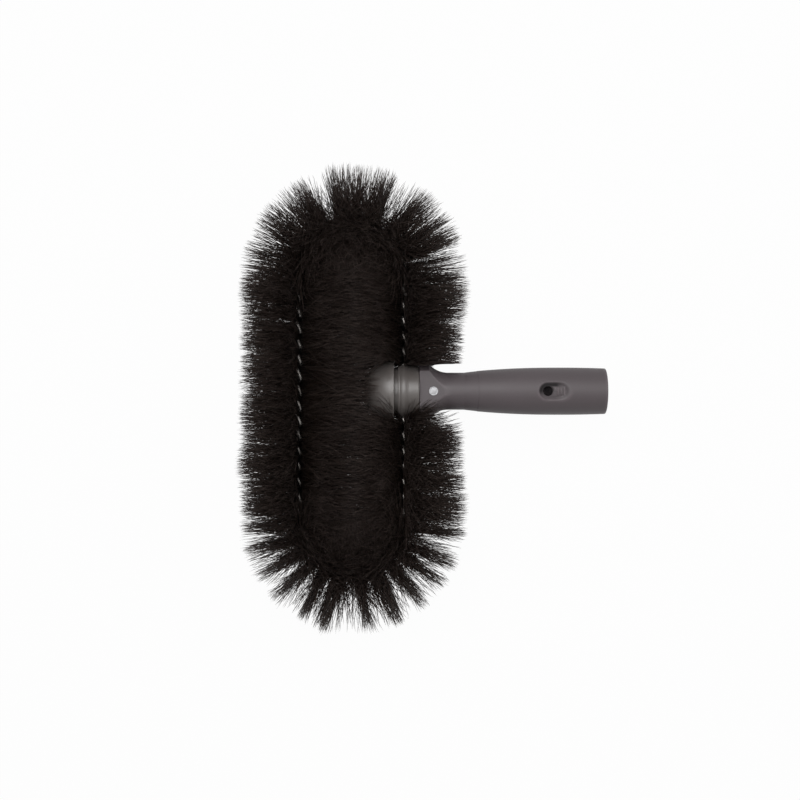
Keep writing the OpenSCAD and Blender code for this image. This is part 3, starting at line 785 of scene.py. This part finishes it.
def thread_map(count):
    """A map with a cell of its own for every fibre: round it across the cell, along it up the cell."""
    cols = int(np.ceil(np.sqrt(count * 5)))
    rows = int(np.ceil(count / cols))
    i = np.arange(count)
    low = np.stack([(i % cols) / cols, (i // cols) / rows], -1)
    size = np.array([0.8 / cols, 0.9 / rows])
    r, c = np.meshgrid(np.arange(4), np.arange(3), indexing="ij")
    r, c = r.ravel(), c.ravel()
    u = np.stack([c, c + 1, c + 1, c], -1) / 3
    v = STATIONS[np.stack([r, r, r + 1, r + 1], -1)]
    walls = np.stack([u, v], -1)
    ends = np.array([[[0, 0.94], [0.33, 0.94], [0.17, 1]], [[0.33, 0.94], [0.67, 0.94], [0.5, 1]],
        [[0.67, 0.94], [1, 0.94], [0.83, 1]], [[0.67, 0], [0.33, 0], [0, 0.02]]])
    return [(low[:, None, None] + walls[None] * size).reshape(-1, 4, 2),
        (low[:, None, None] + ends[None] * size).reshape(-1, 3, 2)]


def fibre_run(name, node, from_s, to_s, count, seed, look, partings=(), sweep=None):
    """Fibres clamped between the wires from one arc length to another.

    A fibre leaves square to the run at the angle of the twist plus a quarter turn, or opposite, off
    by a normal spread, and leans along the run. Most of both is shared by the ten or so fibres of a
    wisp. Some of the outward ones are left out, and the inward ones are pressed towards the plane of
    the loop. Its path is root + L (t d + c t^2), for the direction d, the chance curl c and the
    length L, which is REACH less a chance share. Tufts, partings and the hub then move it.
    """
    chance = np.random.default_rng(seed)
    s = from_s + (np.arange(count) + chance.random(count)) / count * (to_s - from_s)
    side = chance.integers(0, 2, count)
    nominal = 2 * PI * s / PITCH + PI / 2
    wisp = (s / WISP_LENGTH).astype(int) * 2 * WISPS + side * WISPS + chance.integers(0, WISPS, count)
    shared = np.random.default_rng(seed + 100).normal(0, 1, (3, wisp.max() + 1))[:, wisp]
    own = chance.normal(0, 1, (3, count))
    angle = nominal + PI * side + np.radians(look["spread"]) * (0.8 * shared[0] + 0.6 * own[0])
    keep = (np.cos(angle) < 0.2) | (chance.random(count) < look["outer"])
    s, nominal, angle, wisp = s[keep], nominal[keep], angle[keep], wisp[keep]
    shared, own = shared[:, keep], own[:, keep]
    count = len(s)
    # The tuft, which is the half turn that a fibre stands in, and how far it is from its middle
    off = (nominal + PI / 2) % PI - PI / 2
    from_centre = off / (2 * PI) * PITCH
    tuft = np.round((nominal - off) / PI).astype(int)
    tuft_swing, tuft_long = np.random.default_rng(5).normal(0, 1.0, (2, 200))[:, tuft % 200]
    # Inward fibres, flatter and longer than the others, and most so opposite the hub
    inner = (angle + PI / 2) % (2 * PI) - 1.5 * PI
    inside = np.abs(inner) < PI / 2
    at_hub = np.exp(-((s - LEFT_S - RUN_UP) / 24) ** 2) * inside
    flat = look["flatten"] + 0.2 * at_hub
    flat = (1 - flat * (1 - np.abs(inner) / PI)) * (1 - 0.5 * at_hub * chance.random(count))
    angle = np.where(inside, PI + inner * flat, angle)
    length = REACH * (1 - look["short"] * chance.random(count) ** 2.8 - 0.03 * np.abs(shared[2]))
    length = length * (1 + look["uneven"] * tuft_long)
    length = length * np.where(inside, chance.uniform(1.0, look["inner"], count), 1)
    length = length * (1 + at_hub * chance.uniform(0.1, 0.22, count))
    for at, gain, width in FULLER:
        length = length * (1 + gain * np.exp(-((s - at) / width) ** 2) * ~inside)
    tilt = np.radians(look["lean"]) * (0.9 * shared[1] + 0.35 * own[1])
    tilt = tilt + np.radians(look["swing"]) * tuft_swing
    tilt = tilt + np.radians(look["cross"]) * np.clip(2.5 * np.sin(angle) - 1, 0, 1) * own[2]
    if sweep is not None:
        angle, swept = sweep(s, angle, chance)
        tilt = tilt + swept
    spot, out, on = route(s)
    outward = np.cos(angle)
    square = outward[:, None] * out + np.sin(angle)[:, None] * np.array([0, 0, 1.0])
    ahead = np.cos(tilt)[:, None] * square + np.sin(tilt)[:, None] * on
    curl = chance.normal(0, 1.0, (count, 3)) * look["curl"]
    curl = curl - ahead * np.sum(curl * ahead, -1, keepdims=True)
    t = STATIONS[None, :, None]
    path = spot[:, None] + length[:, None, None] * (t * ahead[:, None] + t ** 2 * curl[:, None])
    path = path + t * chance.normal(0, 0.25, (count, 6, 3))
    drawn = gathered(s, out, outward, from_centre, tuft_long, look, partings, chance)
    path = path + drawn * on[:, None]
    path[:, 0] = spot
    path = off_hub(path, s, from_s < TOP_S, chance)
    points, faces = threads(path, ahead, chance)
    # Tone by fibre, with one wisp in eleven paler, and how far along the fibre each point is
    pale_wisp = np.random.default_rng(seed + 200).random(wisp.max() + 1)[wisp] > 0.91
    tone = chance.random(count) ** 3 * 0.45 + (chance.random(count) > 0.97) * 0.5
    tone = np.clip(tone + pale_wisp * chance.uniform(0.25, 0.75, count), 0, 1)
    reach = np.append(np.repeat(STATIONS[:-1], 3), 1.0)
    values = {"tone": np.repeat(tone, 16), "reach": np.tile(reach, count)}
    piece = mesh_piece(name, points, faces, bristle_fibre, 120, values, thread_map(count))
    stand_for(piece, node)


def beneath(angle, from_hub, chance):
    """Lean in degrees of the fibres that pass under the hub, and close the gap beside its groove."""
    count = len(angle)
    first = (from_hub < 4) & (np.cos(angle) < 0.2)
    most, usual = chance.uniform(-10, 45, count), chance.uniform(0, 40, count) * np.exp(-from_hub / 7)
    return np.where(np.sin(angle) < -0.15, np.where(first, most, usual), 0)


def sweep_up(s, angle, chance):
    """Fibres beside the hub on the lower side lean towards it, and a few upright ones cross in front
    of it. The flange turns the outward ones up or down, so that they reach out less."""
    count = len(s)
    from_hub = LOOP_S - FIBRES_FROM - s
    near = np.clip((43 - from_hub) / 38, 0, 1)
    lean = np.where(np.cos(angle) < 0, chance.normal(6, 6, count), chance.normal(5, 4, count))
    upright = (np.sin(angle) > 0.5) & (np.abs(np.cos(angle) + 0.15) < 0.45)
    cross = (chance.random(count) < 0.06) & upright & (from_hub < 14)
    most = np.minimum((24 + 1.5 * from_hub) / REACH * chance.uniform(0.8, 1.05, count), 1)
    kept = np.minimum(np.cos(angle), most)
    angle = np.arctan2(np.sign(np.sin(angle)) * np.sqrt(1 - kept ** 2), kept)
    lean = near * lean + cross * chance.uniform(4, 24, count) + beneath(angle, from_hub, chance)
    return angle, np.radians(lean)


def sweep_level(s, angle, chance):
    """Fibres above the hub stay level outside the loop and lean a little over the cap inside it.
    Upright ones lean away from it, by up to 10 degrees."""
    count = len(s)
    near = np.clip((50 - s) / 26, 0, 1)
    lean = np.where(np.cos(angle) < 0, chance.normal(5, 6, count), np.abs(chance.normal(3, 4, count)))
    lean = lean - 10 * np.clip(2 * np.sin(angle) - 0.3, 0, 1)
    return angle, -np.radians(near * lean + beneath(angle, s - FIBRES_FROM, chance))


def fibre_pieces(name, node, from_s, to_s, parts, seed, look, **more):
    """A run in several pieces, which share one count of fibres to the millimetre."""
    stops = np.linspace(from_s, to_s, parts + 1)
    for k in range(parts):
        label = name + ("_" + str(k + 1) if parts > 1 else "")
        count = int(FIBRES_PER_MM * (stops[k + 1] - stops[k]))
        fibre_run(label, node, stops[k], stops[k + 1], count, seed + k, look, **more)


def fibres():
    """All runs of fibres, each with its look.

    In degrees: spread round the run, lean along it, swing of whole tufts, and cross, the further
    lean of upright fibres. In shares: outer, of the outward fibres that are kept; inner, the most
    that inward ones are long; short, the most that any is less; uneven, by tuft; clump; curl; and
    flatten, towards the plane.
    """
    # Headings of the partings in degrees, how far they push in degrees and over how many
    top_gaps = [(110, 19, 8), (58, 19, 8), (134, 10, 5), (154, 8, 5), (40, 9, 5), (14, 11, 5), (170, 6, 4)]
    bottom_gaps = [(191, 9, 4), (205, 13, 5), (219.5, 16, 5), (234, 19, 5.5), (248.5, 14, 5), (267.8, 26, 7),
        (284.5, 18, 5.5), (305.5, 14, 5), (319, 17, 5), (332, 13, 5), (347, 11, 5)]
    plain = dict(spread=35, lean=7, clump=0.12, swing=1.0, outer=0.8, inner=1.15, cross=6, curl=0.034,
        uneven=0.012, flatten=0.45, short=0.27)
    left = dict(plain, inner=1.25)
    by_hub = dict(plain, cross=3)
    lower = dict(plain, cross=26, lean=8)
    top = dict(plain, clump=0.0, swing=1.5, inner=1.05, cross=26, curl=0.045, uneven=0.02, flatten=0.1,
        spread=55, outer=0.68, short=0.3)
    bottom = dict(top, outer=0.58, curl=0.035, lean=3.5, spread=42, short=0.2)
    last = LOOP_S - FIBRES_FROM
    fibre_pieces("fibres_right_upper_1", "bristles_right_upper", FIBRES_FROM, 42, 1, 11, by_hub,
        sweep=sweep_level)
    fibre_pieces("fibres_right_upper_2", "bristles_right_upper", 42, TOP_S, 1, 12, plain, sweep=sweep_level)
    fibre_pieces("fibres_top", "bristles_top_bend", TOP_S, LEFT_S, 2, 21, top, partings=top_gaps)
    fibre_pieces("fibres_left", "bristles_left_run", LEFT_S, BOTTOM_S, 3, 31, left)
    fibre_pieces("fibres_bottom", "bristles_bottom_bend", BOTTOM_S, RIGHT_S, 2, 41, bottom,
        partings=bottom_gaps)
    fibre_pieces("fibres_right_lower_1", "bristles_right_lower", RIGHT_S, last - 26, 1, 51, lower,
        sweep=sweep_up)
    fibre_pieces("fibres_right_lower_2", "bristles_right_lower", last - 26, last, 1, 52, by_hub,
        sweep=sweep_up)


# ---------------------------------------------------------------- making

stand_for(socket_handle(), "socket_handle")
stand_for(badge_disc(), "badge")
stand_for(collar_half("collar_front", True), "collar_front_half")
stand_for(collar_half("collar_rear", False), "collar_rear_half")
stand_for(nose_cap(), "nose_cap")
stand_for(wire_strand("wire_a", 0.0), "wire_strand_a")
stand_for(wire_strand("wire_b", PI), "wire_strand_b")
fibres()

for node in ("hub_screw", "hub_washer", "upper_ferrule", "lower_ferrule"):
    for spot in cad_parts[node].material_slots:
        spot.material = fastener_steel


# ---------------------------------------------------------------- setting

def seen_white(f):
    """1 for rays that show the background: to the camera, in gloss and through clear things."""
    to_camera, glossy, clear = (f.node("ShaderNodeLightPath", out=key) for key in
        ("Is Camera Ray", "Is Glossy Ray", "Is Transmission Ray"))
    return f.math("MAXIMUM", f.math("MAXIMUM", to_camera, glossy), clear)


def pale_floor():
    """A wide plain floor under the brush: white to the eye, with the brush's shadow left on it."""
    f = Finish(bpy.data.materials.new("pale_floor"))
    shown = seen_white(f) * 0.97
    board = f.node("ShaderNodeBsdfDiffuse", None, {"Color": (0.64, 0.64, 0.64, 1.0)})
    glow = f.node("ShaderNodeEmission", None, {"Color": (1, 1, 1, 1), "Strength": 1.0})
    finish = f.end(f.node("ShaderNodeMixShader", None, {0: shown, 1: board, 2: glow}))
    half, z = 3000.0 * MM, (FLOOR_Z - 0.1) * MM
    mesh = bpy.data.meshes.new("pale_floor")
    mesh.from_pydata([(-half, -half, z), (half, -half, z), (half, half, z), (-half, half, z)], [],
        [(0, 1, 2, 3)])
    mesh.materials.append(finish)
    floor = bpy.data.objects.new("pale_floor", mesh)
    bpy.context.scene.collection.objects.link(floor)


def studio():
    """A plain world that shows white, and two soft lamps overhead, turned to the brush's middle."""
    f = Finish(bpy.data.worlds.new("plain_studio"))
    strength = f.node("ShaderNodeMapRange", None, {"Value": seen_white(f), "To Min": 0.25, "To Max": 1.0})
    sky = f.node("ShaderNodeBackground", None, {"Color": (1, 1, 1, 1), "Strength": strength})
    bpy.context.scene.world = f.end(sky, "ShaderNodeOutputWorld")
    for name, place, size, power in (
            ("overhead_key", (-0.32, 0.36, 1.18), 0.9, 11.0),
            ("right_fill", (1.0, 0.25, 0.8), 0.7, 4.0)):
        lamp = bpy.data.lights.new(name, "AREA")
        lamp.shape, lamp.size, lamp.energy = "SQUARE", size, power
        carrier = bpy.data.objects.new(name, lamp)
        carrier.location = place
        x, y, z = -0.15 - place[0], 0 - place[1], 0 - place[2]
        carrier.rotation_euler = (np.arctan2(np.hypot(x, y), -z), 0, np.arctan2(y, x) - PI / 2)
        bpy.context.scene.collection.objects.link(carrier)


def camera():
    """Straight above the brush, a metre up, which puts 0.75 mm on a pixel of 800."""
    lens = bpy.data.cameras.new("camera")
    lens.lens, lens.sensor_width = 60.0, 36.0
    carrier = bpy.data.objects.new("camera", lens)
    carrier.location = (-0.15375, -0.0066, 1.0)
    bpy.context.scene.collection.objects.link(carrier)
    bpy.context.scene.camera = carrier


pale_floor()
studio()
camera()
bpy.context.scene.view_settings.view_transform = "Standard"
